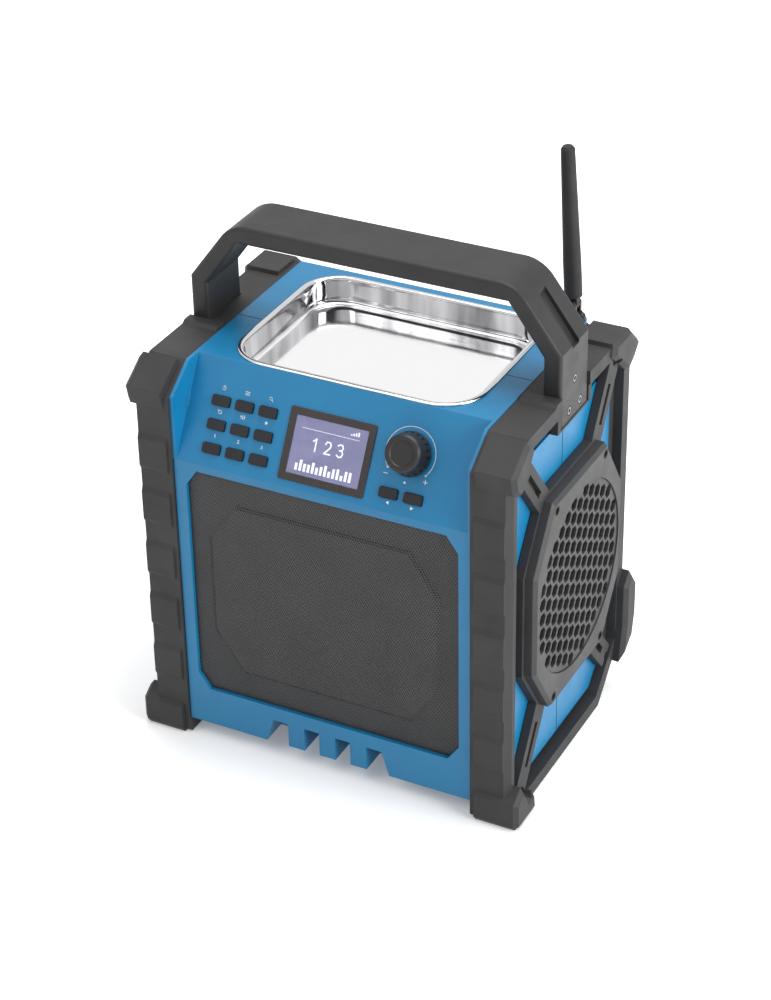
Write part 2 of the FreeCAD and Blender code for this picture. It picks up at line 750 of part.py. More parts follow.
def handle():
    piece = Piece("handle")
    top, thick, half = "handle_top", "handle_thickness", "handle_half_width"
    foot_in = "handle_slant_foot - handle_thickness * 0.28"
    outline = [
        (f"-{half}", "handle_foot"), (f"-{half} + {thick}", "handle_foot"),
        (f"-{half} + {thick}", foot_in), (f"-handle_slant_top + {thick} * 0.42", f"{top} - {thick}"),
        (f"handle_slant_top - {thick} * 0.42", f"{top} - {thick}"), (f"{half} - {thick}", foot_in),
        (f"{half} - {thick}", "handle_foot"), (half, "handle_foot"),
        (half, "handle_slant_foot"), ("handle_slant_top", top),
        ("-handle_slant_top", top), (f"-{half}", "handle_slant_foot"),
    ]
    piece.pad("y", "handle_front", "handle_front + handle_depth", outline)
    crown = size(top)
    piece.soften("Fillet", "handle_thickness * 2",
                 lambda a, b: abs(a.z - crown) < 0.1 and abs(b.z - crown) < 0.1 and abs(a.x - b.x) < 0.1)
    ends = (size("handle_front"), size("handle_front + handle_depth"))
    piece.soften("Fillet", "handle_edge", lambda a, b: (
        abs(a.y - b.y) < 0.01 and min(abs(a.y - y) for y in ends) < 0.01
    ))
    # the groove in each slanted shoulder
    middle = "(handle_front + handle_depth / 2)"
    for side in (-1, 1):
        top_x, foot_x = f"{side} * (handle_slant_top + 8)", f"{side} * (handle_half_width - 3)"
        piece.cut("y", f"{middle} - handle_groove / 2", f"{middle} + handle_groove / 2", [
            (top_x, f"{top} + 2"), (top_x, f"{top} - 15"), (foot_x, "handle_slant_foot - 2"),
            (f"{foot_x} + {side} * 8", "handle_slant_foot - 2"), (f"{foot_x} + {side} * 8", f"{top} + 2"),
        ])
    for y, z in HANDLE_SCREWS:
        piece.cut("x", "handle_half_width - 2.4", "handle_half_width + 1", (y, z, "screw_head"))
        piece.cut("x", "-handle_half_width - 1", "-handle_half_width + 2.4", (y, z, "screw_head"))
    return piece.done()


def tray():
    piece = Piece("tray")
    floor, rim = "housing_top - tray_depth", "housing_top + tray_sheet"
    sides = ("-tray_half_width", "tray_half_width", "tray_front", "tray_rear")
    grown = ["-tray_half_width - tray_lip", "tray_half_width + tray_lip",
             "tray_front - tray_lip", "tray_rear + tray_lip"]
    inner = ["-tray_half_width + tray_sheet", "tray_half_width - tray_sheet",
             "tray_front + tray_sheet", "tray_rear - tray_sheet"]
    piece.pad("z", floor, "housing_top", (*sides, "tray_corner"))
    piece.pad("z", "housing_top", rim, (*grown, "(tray_corner + tray_lip)"))
    piece.cut("z", f"{floor} + tray_sheet", f"{rim} + 1", (*inner, "(tray_corner - tray_sheet)"))
    return piece.done()


def front_grille():
    piece = Piece("front_grille")
    inset = "running_gap"
    plate = octagon(
        "0", "(grille_bottom + grille_top) / 2", f"grille_half_width - {inset}",
        f"(grille_top - grille_bottom) / 2 - {inset}", f"(grille_half_width - grille_cut_end) - {inset} / 2",
        f"((grille_top - grille_bottom) / 2 - grille_cut_side) - {inset} / 2",
    )
    back = "-front_face + grille_recess"
    piece.pad("y", f"{back} - grille_sheet", back, plate)
    boss = octagon("0", "(grille_bottom + grille_top) / 2", "grille_half_width - 14", "68", "64.5", "37")
    piece.pad("y", f"{back} - grille_sheet - grille_boss", f"{back} - grille_sheet", boss, taper="-60")
    return piece.done()


def display():
    bezel = Piece("display_bezel", PANEL)
    half, low, high = "display_width / 2", "display_rise", "display_rise + display_length"
    bezel.pad("z", "0", "display_proud", (f"-{half}", half, low, high, "1.5"))
    bezel.cut("z", "-1", "display_proud + 1", box(*SCREEN))
    bezel.done()
    lens = Piece("display_lens", PANEL)
    lens.pad("z", "0", "display_proud - 0.1", box(*inset(SCREEN, "shaft_clearance")))
    lens.done()


def button(name, across, up):
    piece = Piece(name, PANEL)
    piece.pad("z", "-button_reach", "button_proud", (*around(across, up), "1"))
    return piece.done()


def button_board():
    """The board that the button switches press on, on the back of the control panel."""
    piece = Piece("button_board", PANEL)
    piece.pad("z", f"{BOARD_TOP} - board_sheet", BOARD_TOP, box("-92", "88", "4", "54"))
    return piece.done()


def screen_module():
    """The screen itself, which stands on the board and fills the panel's window."""
    piece = Piece("screen_module", PANEL)
    piece.pad("z", BOARD_TOP, "0", box(*inset(SCREEN, "running_gap")))
    return piece.done()


def volume_knob():
    """Encoder body, sprung plunger, shaft and ribbed knob, all about one axis of the panel."""
    axis = PANEL * FreeCAD.Placement(V(size("knob_across"), size("knob_up"), 0), FreeCAD.Rotation())
    encoder = Piece("encoder_body", axis)
    encoder.pad("z", BOARD_TOP, "-5", box("-6.5", "6.5", "-6.5", "6.5"))
    encoder.pad("z", "-5", "-0.5", ("0", "0", "bushing_radius"))
    encoder.cut("z", f"{BOARD_TOP} + 1", "1", ("0", "0", "plunger_radius + shaft_clearance"))
    encoder.done()
    plunger = Piece("encoder_plunger", axis)
    plunger.pad("z", f"{BOARD_TOP} + 2", "-0.2", ("0", "0", "plunger_radius"))
    plunger.cut("z", f"{BOARD_TOP} + 3", "1", ("0", "0", "shaft_radius + shaft_clearance"))
    plunger.done()
    shaft = Piece("knob_shaft", axis)
    shaft.pad("z", f"{BOARD_TOP} + 3.05", "knob_height - 4", ("0", "0", "shaft_radius"))
    shaft.done()
    knob = Piece("volume_knob", axis)
    knob.spin([
        ("shaft_radius", "knob_gap"), ("knob_skirt_radius - 1", "knob_gap"),
        ("knob_skirt_radius", "knob_gap + 1"), ("knob_skirt_radius - 0.6", "4"),
        ("knob_top_radius", "knob_height - 1.5"), ("knob_top_radius - 1.5", "knob_height"),
        ("knob_dish_radius", "knob_height"), ("knob_dish_radius - 0.8", "knob_height - 0.8"),
        ("0", "knob_height - 0.8"), ("0", "knob_height - 4"), ("shaft_radius", "knob_height - 4"),
    ])
    knob.cut("z", "3", "knob_height + 1", ("knob_skirt_radius", "0", "1.5"))
    notch = knob.body.Tip
    ring = knob.body.newObject("PartDesign::PolarPattern", "knob_ribs")
    ring.Originals = [notch]
    ring.Axis = (next(f for f in knob.body.Origin.OriginFeatures if f.Role == "Z_Axis"), [""])
    ring.Angle = 360
    ring.Occurrences = int(size("knob_ribs"))
    knob.body.Tip = ring
    doc.recompute()
    knob.done()


def antenna():
    foot = V(size("antenna_across"), size("antenna_back"), 0)
    place = FreeCAD.Placement(foot, FreeCAD.Rotation())
    socket = Piece("antenna_socket", place)
    socket.pad("z", "housing_top", "housing_top + 2.6", ("0", "0", "antenna_foot_radius + 2"))
    socket.done()
    swivel = Piece("antenna_swivel", place)
    swivel.pad("z", "housing_top + 2.65", "antenna_pivot - 6.6", ("0", "0", "antenna_foot_radius"))
    for low, high in (("-5.4", "-2.7"), ("2.7", "5.4")):
        ear = [("-3.6", "antenna_pivot - 6.6"), ("3.6", "antenna_pivot - 6.6"), ("3.6", "antenna_pivot"),
               ("1.8", "antenna_pivot + 3.2"), ("-1.8", "antenna_pivot + 3.2"), ("-3.6", "antenna_pivot")]
        swivel.pad("y", low, high, ear)
    swivel.pad("y", "-5.4", "5.4", ("0", "antenna_pivot", "pin_radius"))
    swivel.done()
    lean = FreeCAD.Rotation(V(0, 1, 0), -size("antenna_lean"))
    whip = Piece("antenna_whip", FreeCAD.Placement(foot + V(0, 0, size("antenna_pivot")), lean))
    whip.spin([
        ("0", "6"), ("antenna_foot_radius", "6"), ("antenna_foot_radius", "30"),
        ("antenna_tip_radius", "antenna_length - 2"), ("antenna_tip_radius - 1.5", "antenna_length"),
        ("0", "antenna_length"),
    ])
    knuckle = [("-3.4", "-2"), ("-1.5", "-3.4"), ("1.5", "-3.4"), ("3.4", "-2"), ("3.4", "8"), ("-3.4", "8")]
    whip.pad("y", "-2.4", "2.4", knuckle)
    whip.cut("y", "-3", "3", ("0", "0", "pin_radius + shaft_clearance"))
    whip.done()


def driver(prefix, place, radius, depth):
    """A loudspeaker about local Z: a basket with its magnet, and the cone with its surround."""
    basket = Piece(f"{prefix}_basket", place)
    rim, deep = f"({radius})", f"({depth})"
    basket.spin([
        (f"{rim} - 8", "0"), (rim, "0"), (rim, "driver_rim"), (f"{rim} - 6", "driver_rim"),
        (f"{rim} * 0.5", f"{deep} * 0.6"), (f"{rim} * 0.5", deep), ("0", deep),
        ("0", f"{deep} * 0.6 - 2"), (f"{rim} * 0.46", f"{deep} * 0.6 - 2"),
    ])
    basket.done()
    cone = Piece(f"{prefix}_cone", place)
    cone.spin([
        (f"{rim} - 9", "0"), (f"{rim} - 1.5", "0"), (f"{rim} - 1.5", "-1.2"), (f"{rim} - 6", "-2.4"),
        (f"{rim} - 12", "0"), (f"{rim} * 0.27", f"{deep} * 0.32"), ("0", f"{deep} * 0.22"),
        ("0", f"{deep} * 0.22 + 1.4"), (f"{rim} * 0.27", f"{deep} * 0.32 + 1.6"), (f"{rim} - 10.5", "1"),
    ])
    cone.done()


def power_pieces():
    """Main board, battery bay, battery, its door and hinge pin, and the sockets with their cover."""
    board = Piece("main_board")
    board.pad("z", "board_level", "board_level + board_sheet", box("-60", "60", "4", "52"))
    board.done()
    bay = Piece("battery_bay")
    low, high, half = "door_bottom + 4", "door_top - 4", "door_half_width - 4"
    back = "rear_face - wall"
    bay.pad("y", f"{back} - bay_depth", back, box(
        f"-({half}) - 2", f"{half} + 2", f"{low} - 2", f"{high} + 2"
    ))
    bay.cut("y", f"{back} - bay_depth + 2", f"{back} + 1", box(f"-({half})", half, low, high))
    bay.done()
    pack = Piece("battery_pack")
    pack.pad("y", f"{back} - bay_depth + 2.2", f"{back} - 1", box(
        f"-({half}) + 1", f"{half} - 1", low, f"{high} - 3"
    ))
    pack.done()
    door = Piece("battery_door")
    door.pad("y", "rear_face + running_gap", "rear_face + door_thickness", box(
        "-door_half_width", "door_half_width", "door_bottom", "door_top"
    ))
    door.pad("x", "-hinge_half", "hinge_half", (*DOOR_HINGE, "hinge_radius"))
    door.pad("x", "-hinge_half", "hinge_half", box(
        "rear_face + running_gap", "rear_face + door_thickness", "door_top - 2", DOOR_HINGE[1]
    ))
    door.cut("x", "-hinge_half - 1", "hinge_half + 1", (*DOOR_HINGE, "pin_radius + shaft_clearance"))
    door.done()
    pin = Piece("door_hinge_pin")
    pin.pad("x", "-hinge_half - hinge_ear", "hinge_half + hinge_ear", (*DOOR_HINGE, "pin_radius"))
    pin.done()
    sockets = Piece("socket_block")
    sides = box("socket_left", "socket_left + socket_width", "socket_low", "socket_low + socket_rise")
    sockets.pad("y", "rear_face - 14", "rear_face - 1", sides)
    for k, radius in enumerate(("4", "3.2", "3.2")):
        sockets.cut("y", "rear_face - 10", "rear_face", (
            f"socket_left + socket_edge + {k} * socket_pitch", "socket_low + socket_rise / 2", radius
        ))
    sockets.done()
    # a rubber flap that swings on its round top edge, under a fixed strip
    cover = Piece("socket_cover")
    left, right, top = "socket_left - 3", "socket_left + socket_width + 3", "socket_low + socket_rise + 4"
    pivot = "(rear_face + running_gap + cover_sheet / 2)"
    cover.pad("y", "rear_face + running_gap", "rear_face + running_gap + cover_sheet", box(
        left, right, "socket_low - 4", top
    ))
    cover.pad("x", left, right, (pivot, top, "cover_sheet / 2"))
    cover.done()
    strip = Piece("cover_strip")
    strip.pad("y", "rear_face", "rear_face + cover_sheet", box(
        left, right, f"{top} + cover_sheet / 2 + 0.3", f"{top} + cover_sheet / 2 + 6"
    ))
    strip.done()


def screws():
    """Screw heads in three sets: side frames, speaker guards and handle."""
    def heads(label, places, face, radius, length):
        shapes = []
        for y, z in places:
            for side in (-1, 1):
                head = Part.makeCylinder(radius - size("running_gap"), length, V(0, y, z), V(side, 0, 0))
                head.translate(V(side * (face - length), 0, 0))
                socket = hexagon(V(0, y, z), radius, length)
                socket.translate(V(side * (face - length / 2) - (length if side < 0 else 0), 0, 0))
                shapes.append(head.cut(socket))
        group(label, shapes)

    seat = size("screw_head")
    for name, places, level in (
        ("frame_screws", FRAME_SCREWS, "frame_half_width - 2"), ("guard_screws", GUARD_SCREWS, "guard_plate_face - 2"),
        ("handle_screws", HANDLE_SCREWS, "handle_half_width"),
    ):
        heads(name, [(size(y), size(z)) for y, z in places], size(level), seat, 2.4)


front_housing()
rear_housing()
frame = side_frame()
mirrored(frame, "left_side_frame")
plate = speaker_guard()
mirrored(plate, "left_speaker_guard")
mesh = speaker_mesh()
mirrored(mesh, "left_speaker_mesh")
handle()
tray()
front_grille()
display()
for place in button_places():
    button(*place)
button_board()
screen_module()
volume_knob()
antenna()
driver("woofer", FreeCAD.Placement(
    V(0, -size("front_face - woofer_set"), size("woofer_height")), FreeCAD.Rotation(V(1, 0, 0), -90)
), "woofer_radius", "woofer_depth")
for side, name in ((1, "right"), (-1, "left")):
    driver(f"{name}_driver", FreeCAD.Placement(
        V(side * size("bulge_half_width - side_driver_set"), size("middle"), size("guard_height")),
        FreeCAD.Rotation(V(0, 1, 0), -side * 90)
    ), "side_driver_radius", "side_driver_depth")
power_pieces()
screws()

doc.recompute()
os.makedirs("parts", exist_ok=True)
for item in doc.Objects:
    if "Invalid" in item.State or "Error" in item.State:
        raise RuntimeError(f"{item.Label} is {item.State}")
for node in nodes:
    if node.Shape.isNull() or not node.Shape.isValid():
        raise RuntimeError(f"{node.Label} has no valid shape")
    node.Shape.exportStep(f"parts/{node.Label}.step")
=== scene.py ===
"""Looks of the jobsite radio: materials, printing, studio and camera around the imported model."""

import math

import bmesh
import bpy
from mathutils import Matrix, Vector


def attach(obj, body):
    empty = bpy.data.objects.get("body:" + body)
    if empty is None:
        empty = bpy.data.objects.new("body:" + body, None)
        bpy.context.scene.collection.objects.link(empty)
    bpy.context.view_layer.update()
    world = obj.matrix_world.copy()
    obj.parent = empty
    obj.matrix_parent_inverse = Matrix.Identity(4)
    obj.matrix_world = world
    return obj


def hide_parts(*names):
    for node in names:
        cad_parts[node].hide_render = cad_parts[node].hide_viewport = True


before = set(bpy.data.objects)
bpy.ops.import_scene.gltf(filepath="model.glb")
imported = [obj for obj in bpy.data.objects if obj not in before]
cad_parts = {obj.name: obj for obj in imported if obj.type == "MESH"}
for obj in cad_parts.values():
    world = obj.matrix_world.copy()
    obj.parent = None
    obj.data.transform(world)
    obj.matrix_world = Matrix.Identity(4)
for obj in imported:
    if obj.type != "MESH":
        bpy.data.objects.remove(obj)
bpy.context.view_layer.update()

# Places of the CAD model that more than one piece meets, in metres: X to the right, Y to the back, Z up.
FRONT_FACE, CREASE_HEIGHT = -0.097, 0.2243
PARTING_LINE = -0.0035

# The control panel: its crease line, its slope and the two directions in it.
SLOPE = math.atan2(63.0, 36.0)
CREASE = Vector((0, FRONT_FACE, CREASE_HEIGHT))
UP_SLOPE = Vector((0, math.cos(SLOPE), math.sin(SLOPE)))
OUT = Vector((0, -math.sin(SLOPE), math.cos(SLOPE)))


def on_panel(across, up, out=0.0):
    """A point of the control panel, from millimetres across, up the slope and out of it."""
    return CREASE + Vector((across / 1000, 0, 0)) + UP_SLOPE * (up / 1000) + OUT * (out / 1000)


# Materials


def srgb(*levels):
    """Linear colour from 0..255 levels."""
    return tuple(v / 255 / 12.92 if v <= 10 else ((v / 255 + 0.055) / 1.055) ** 2.4 for v in levels)


class Recipe:
    """A node material: a Principled shader with helpers for the nodes in front of it."""

    def __init__(self, name, rough, metal=0.0, **sockets):
        self.material = bpy.data.materials.new(name)
        self.material.use_nodes = True
        self.tree = self.material.node_tree
        self.shader = self.tree.nodes["Principled BSDF"]
        self.shader.inputs["Roughness"].default_value = rough
        self.shader.inputs["Metallic"].default_value = metal
        for key, value in sockets.items():
            self.shader.inputs[key.replace("_", " ")].default_value = value
        self.place = self.add("ShaderNodeTexCoord").outputs["Object"]
        self.bumps = None

    def add(self, kind, **values):
        node = self.tree.nodes.new(kind)
        for key, value in values.items():
            setattr(node, key, value)
        return node

    def link(self, source, target):
        self.tree.links.new(source, target)

    def math(self, kind, *values):
        """A Math node on numbers and sockets."""
        node = self.add("ShaderNodeMath", operation=kind)
        for socket, value in zip(node.inputs, values):
            if isinstance(value, (int, float)):
                socket.default_value = value
            else:
                self.link(value, socket)
        return node.outputs[0]

    def coordinates(self):
        """The place on the object, as its x, y and z."""
        split = self.add("ShaderNodeSeparateXYZ")
        self.link(self.place, split.inputs[0])
        return split.outputs

    def noise(self, scale, detail, stretch=(1, 1, 1)):
        mapped = self.add("ShaderNodeMapping")
        mapped.inputs["Scale"].default_value = stretch
        self.link(self.place, mapped.inputs["Vector"])
        node = self.add("ShaderNodeTexNoise")
        node.inputs["Scale"].default_value = scale
        node.inputs["Detail"].default_value = detail
        self.link(mapped.outputs[0], node.inputs["Vector"])
        return node.outputs["Fac"]

    def between(self, low, high, factor, start=0.3, end=0.7):
        """A factor spread from start..end to low..high."""
        node = self.add("ShaderNodeMapRange")
        for socket, value in zip(("From Min", "From Max", "To Min", "To Max"), (start, end, low, high)):
            node.inputs[socket].default_value = value
        self.link(factor, node.inputs["Value"])
        return node.outputs["Result"]

    def blend(self, first, second, factor):
        """Two colours, each a tuple or a socket, mixed by a factor."""
        node = self.add("ShaderNodeMix", data_type="RGBA")
        for socket, value in ((node.inputs[6], first), (node.inputs[7], second)):
            if isinstance(value, tuple):
                socket.default_value = (*value, 1)
            else:
                self.link(value, socket)
        self.link(factor, node.inputs[0])
        return node.outputs[2]

    def mottled(self, first, second, scale, detail):
        """Two near tones in soft patches."""
        return self.blend(first, second, self.between(0, 1, self.noise(scale, detail)))

    def bump(self, height, strength, distance):
        """A bump from a height, on top of the normal that is there already."""
        node = self.add("ShaderNodeBump")
        node.inputs["Strength"].default_value = strength
        node.inputs["Distance"].default_value = distance
        self.link(height, node.inputs["Height"])
        if self.bumps:
            self.link(self.bumps, node.inputs["Normal"])
        self.bumps = node.outputs["Normal"]
        self.link(self.bumps, self.shader.inputs["Normal"])

    def colour(self, source):
        """The base colour, from a tuple or a socket."""
        if isinstance(source, tuple):
            self.shader.inputs["Base Color"].default_value = (*source, 1)
        else:
            self.link(source, self.shader.inputs["Base Color"])

    def roughness(self, low, high, factor):
        self.link(self.between(low, high, factor), self.shader.inputs["Roughness"])

    def brushed(self, low, high, stretch):
        """Fine lines in the gloss and the surface, drawn out where stretch is small."""
        lines = self.noise(900, 2, stretch)
        self.roughness(low, high, lines)
        self.bump(lines, 0.04, 0.00003)


def moulded(name, dark, light, rough, grain=2600.0, depth=0.00006, strength=0.35, shine=0.3, edge=0.0007):
    """Moulded plastic or rubber: two near tones, a fine spark-eroded grain, uneven gloss and soft edges."""
    recipe = Recipe(name, rough, Specular_IOR_Level=shine)
    rounded = recipe.add("ShaderNodeBevel", samples=4)
    rounded.inputs["Radius"].default_value = edge
    recipe.bumps = rounded.outputs["Normal"]
    recipe.colour(recipe.mottled(dark, light, 22, 4))
    recipe.roughness(rough - 0.05, rough + 0.06, recipe.noise(60, 3))
    recipe.bump(recipe.noise(grain, 2), strength, depth)
    return recipe.material


def perforated(name, pitch=0.0019, hole_edge=(0.27, 0.36)):
    """Dark sheet metal with staggered round holes 1.2 mm across, 1.9 mm apart."""
    recipe = Recipe(name, 0.42, 0.35)
    x, _, z = recipe.coordinates()
    rows = pitch * math.sqrt(3)

    def to_hole(shift):
        """Distance to the nearest hole of one of the two sets, in pitches."""
        across, up = recipe.math("DIVIDE", x, pitch), recipe.math("DIVIDE", z, rows)
        dx, dz = (
            recipe.math("SUBTRACT", recipe.math("FRACT", recipe.math("ADD", cells, shift)), 0.5)
            for cells in (across, up)
        )
        dz = recipe.math("MULTIPLY", dz, rows / pitch)
        squares = recipe.math("MULTIPLY", dx, dx), recipe.math("MULTIPLY", dz, dz)
        return recipe.math("SQRT", recipe.math("ADD", *squares))

    nearest = recipe.math("MINIMUM", to_hole(0.0), to_hole(0.5))
    metal = recipe.between(0, 1, nearest, *hole_edge)
    tone = recipe.mottled(srgb(54, 54, 55), srgb(62, 62, 63), 30, 3)
    recipe.colour(recipe.blend(srgb(6, 6, 7), tone, metal))
    recipe.bump(metal, 0.8, 0.0005)
    return recipe.material


def steel(name, rough, tone, stretch):
    """Brushed steel."""
    recipe = Recipe(name, rough, 1.0)
    recipe.colour(recipe.mottled(tone, tuple(v * 0.93 for v in tone), 9, 3))
    recipe.brushed(rough * 0.8, rough * 1.25, stretch)
    return recipe.material


def pressed(name, floor_edge=(0.2700, 0.2715), rim_start=(0.2868, 0.2884)):
    """Polished pressed steel with painted reflections: a bright floor, the sides painted darker in upright
    bands of painted reflection, and a lighter rim.
    """
    recipe = Recipe(name, 0.09, 1.0)
    height = recipe.coordinates()[2]
    # Painted reflection: dark and pale upright bands on the sides, blended to the bright floor below and the
    # lighter rim above.
    reflection_bands = recipe.between(0, 1, recipe.noise(34, 3, (1, 1, 0.15)), 0.35, 0.62)
    drawn = recipe.blend(srgb(118, 118, 120), srgb(226, 226, 228), reflection_bands)
    rise = recipe.between(0, 1, height, *floor_edge)
    rolled = recipe.between(0, 1, height, *rim_start)
    painted_wall_tone = recipe.blend(drawn, srgb(214, 214, 216), rolled)
    recipe.colour(recipe.blend(srgb(246, 246, 247), painted_wall_tone, rise))
    recipe.brushed(0.07, 0.13, (0.05, 1, 1))
    return recipe.material


def clear(name):
    """Clear plastic."""
    recipe = Recipe(name, 0.06, Transmission_Weight=1.0, IOR=1.45)
    recipe.colour((0.97, 0.97, 1.0))
    recipe.bump(recipe.noise(40, 1), 0.01, 0.0001)
    return recipe.material


def lit_screen(name):
    """The evenly lit face of the screen."""
    recipe = Recipe(name, 0.3)
    shade = recipe.between(0, 1, recipe.noise(18, 2))
    recipe.colour(recipe.blend(srgb(120, 122, 160), srgb(134, 134, 170), shade))
    glow = recipe.blend(srgb(134, 134, 172), srgb(150, 148, 184), shade)
    recipe.link(glow, recipe.shader.inputs["Emission Color"])
    recipe.shader.inputs["Emission Strength"].default_value = 0.35
    return recipe.material


def lit_marks(name):
    """The brighter marks on the screen."""
    recipe = Recipe(name, 0.4)
    recipe.colour((0.75, 0.78, 0.9))
    recipe.shader.inputs["Emission Color"].default_value = (0.62, 0.66, 0.82, 1)
    recipe.shader.inputs["Emission Strength"].default_value = 0.35
    recipe.bump(recipe.noise(300, 1), 0.02, 0.00005)
    return recipe.material


def woven(name):
    """Fine black cloth."""
    recipe = Recipe(name, 0.95, Specular_IOR_Level=0.1)
    recipe.colour(recipe.mottled(srgb(6, 6, 7), srgb(14, 14, 15), 1500, 2))
    recipe.bump(recipe.noise(1500, 2), 0.4, 0.0001)
    return recipe.material


RUBBER = {"grain": 1700, "depth": 0.0001}
blue = moulded("blue_shell_finish", srgb(2, 106, 152), srgb(6, 114, 160), 0.4, strength=0.22, shine=0.5)
grey = moulded("bumper_finish", srgb(44, 44, 45), srgb(52, 52, 53), 0.6, strength=0.45, **RUBBER)
grip = moulded("handle_finish", srgb(34, 34, 35), srgb(42, 42, 43), 0.46, strength=0.4, **RUBBER)
guard = moulded("guard_finish", srgb(52, 52, 53), srgb(60, 60, 61), 0.5, grain=2000)
black = moulded("black_plastic_finish", srgb(24, 24, 26), srgb(32, 32, 34), 0.45)
keys = moulded("key_finish", srgb(22, 22, 25), srgb(30, 30, 33), 0.4, edge=0.0004)
soft = moulded("soft_black_finish", srgb(26, 26, 27), srgb(34, 34, 35), 0.6)
bezel = moulded("bezel_finish", srgb(50, 46, 46), srgb(58, 53, 52), 0.25, strength=0.08)
knob = moulded("knob_finish", srgb(30, 30, 32), srgb(40, 40, 42), 0.38, strength=0.2, edge=0.0004)
board = moulded("board_finish", srgb(16, 78, 48), srgb(22, 92, 58), 0.4)
cone = moulded("cone_finish", srgb(16, 16, 18), srgb(24, 24, 26), 0.7)
# Black for the screws themselves, and painted shade for the flat rings round their holes.
black_screws_and_hole_shade = moulded("black_screw_and_painted_hole_shade", srgb(14, 14, 15), srgb(20, 20, 21), 0.6)
# Near-black for the seam strips: painted shade in the gaps between the mouldings.
seam_shade_paint = moulded("painted_seam_shade", srgb(6, 6, 8), srgb(10, 10, 12), 0.8)
ink = moulded("print_finish", srgb(222, 226, 232), srgb(232, 236, 240), 0.5, strength=0.1)
grille = perforated("front_grille_finish")
# The tray's steel carries painted reflections on its sides.
mirror = pressed("tray_painted_reflections")
pin = steel("pin_finish", 0.3, (0.62, 0.62, 0.63), (1, 1, 0.05))
screw = steel("screw_finish", 0.3, (0.3, 0.3, 0.31), (1, 1, 1))
lens = clear("lens_finish")
screen = lit_screen("screen_finish")
marks = lit_marks("screen_mark_finish")
cloth = woven("speaker_cloth_finish")

# A node takes the first finish here whose text is in its name.
FINISHES = [
    ("housing", blue), ("side_frame", grey), ("speaker_guard", guard), ("speaker_mesh", guard),
    ("frame_screws", black_screws_and_hole_shade), ("guard_screws", black_screws_and_hole_shade), ("handle_screws", screw),
    ("handle", grip), ("tray", mirror), ("front_grille", grille),
    ("display_bezel", bezel), ("display_lens", lens), ("screen_module", screen),
    ("_board", board), ("button_", keys), ("volume_knob", knob), ("knob_shaft", pin), ("encoder", pin),
    ("_basket", black), ("_cone", cone), ("battery_door", grip), ("battery", black),
    ("socket_block", black), ("cover", soft), ("antenna_whip", soft), ("antenna", black), ("pin", pin),
]


def finish_of(name):
    return next(material for key, material in FINISHES if key in name)


for name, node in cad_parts.items():
    node.data.materials.clear()
    node.data.materials.append(finish_of(name))


# Mesh building


def piece(name, body, material, build):
    """A mesh object made by build(bm), riding on a body."""
    mesh = bpy.data.meshes.new(name)
    bm = bmesh.new()
    build(bm)
    bmesh.ops.recalc_face_normals(bm, faces=bm.faces)
    bm.to_mesh(mesh)
    bm.free()
    item = bpy.data.objects.new(name, mesh)
    bpy.context.scene.collection.objects.link(item)
    mesh.materials.append(material)
    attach(item, body)
    return item


def skin(bm, low, high):
    """Quads between two loops of as many vertices."""
    for i in range(len(low)):
        j = (i + 1) % len(low)
        bm.faces.new((low[i], low[j], high[j], high[i]))


def prism(bm, low, high):
    """A closed solid between two loops of as many vertices."""
    bm.faces.new(high)
    bm.faces.new(list(reversed(low)))
    skin(bm, low, high)


# A layer on the panel is its height above the panel and its thickness, in millimetres.
INK = (0.02, 0.05)


def plate(bm, outline, layer=INK):
    """A thin closed plate from an outline in panel millimetres."""
    out, thick = layer
    low = [bm.verts.new(on_panel(x, s, out)) for x, s in outline]
    high = [bm.verts.new(on_panel(x, s, out + thick)) for x, s in outline]
    prism(bm, low, high)


def stroke(bm, points, width, layer=INK):
    """A line of even width along points, as one closed plate for each run."""
    for (x0, s0), (x1, s1) in zip(points, points[1:]):
        length = math.hypot(x1 - x0, s1 - s0)
        ex, es = (x1 - x0) / length * width / 2, (s1 - s0) / length * width / 2
        plate(bm, [
            (x0 - ex - es, s0 - es + ex), (x0 - ex + es, s0 - es - ex),
            (x1 + ex + es, s1 + es - ex), (x1 + ex - es, s1 + es + ex),
        ], layer)


def ring_points(x, s, radius, start, end, steps):
    """Points along an arc from one angle to another, in degrees, with both ends."""
    angles = [math.radians(start + (end - start) * k / steps) for k in range(steps + 1)]
    return [(x + radius * math.cos(a), s + radius * math.sin(a)) for a in angles]


# Printing on the panel, in panel millimetres

DIGIT_COLUMNS, DIGIT_ROW, DIGIT_SIZE = (-81.9, -64.4, -46.9), 21.0, 1.05
LEFT, MIDDLE, RIGHT = -82.3, -64.7, -47.2
UPPER, LOWER = 53.2, 37.2
SCALE_CENTRE, SCALE_RADIUS = (57.0, 40.0), 17.6
DIGITS = {
    "1": [[(-0.5, 0.55), (0.05, 0.95), (0.05, -0.95)]],
    "2": [[(-0.55, 0.5), (-0.3, 0.9), (0.3, 0.9), (0.55, 0.5), (0.45, 0.1), (-0.55, -0.95), (0.6, -0.95)]],
    "3": [[(-0.55, 0.75), (-0.2, 0.95), (0.3, 0.9), (0.5, 0.5), (0.3, 0.08), (-0.1, 0.05)],
          [(0.3, 0.08), (0.58, -0.35), (0.4, -0.85), (-0.1, -0.98), (-0.55, -0.75)]],
}


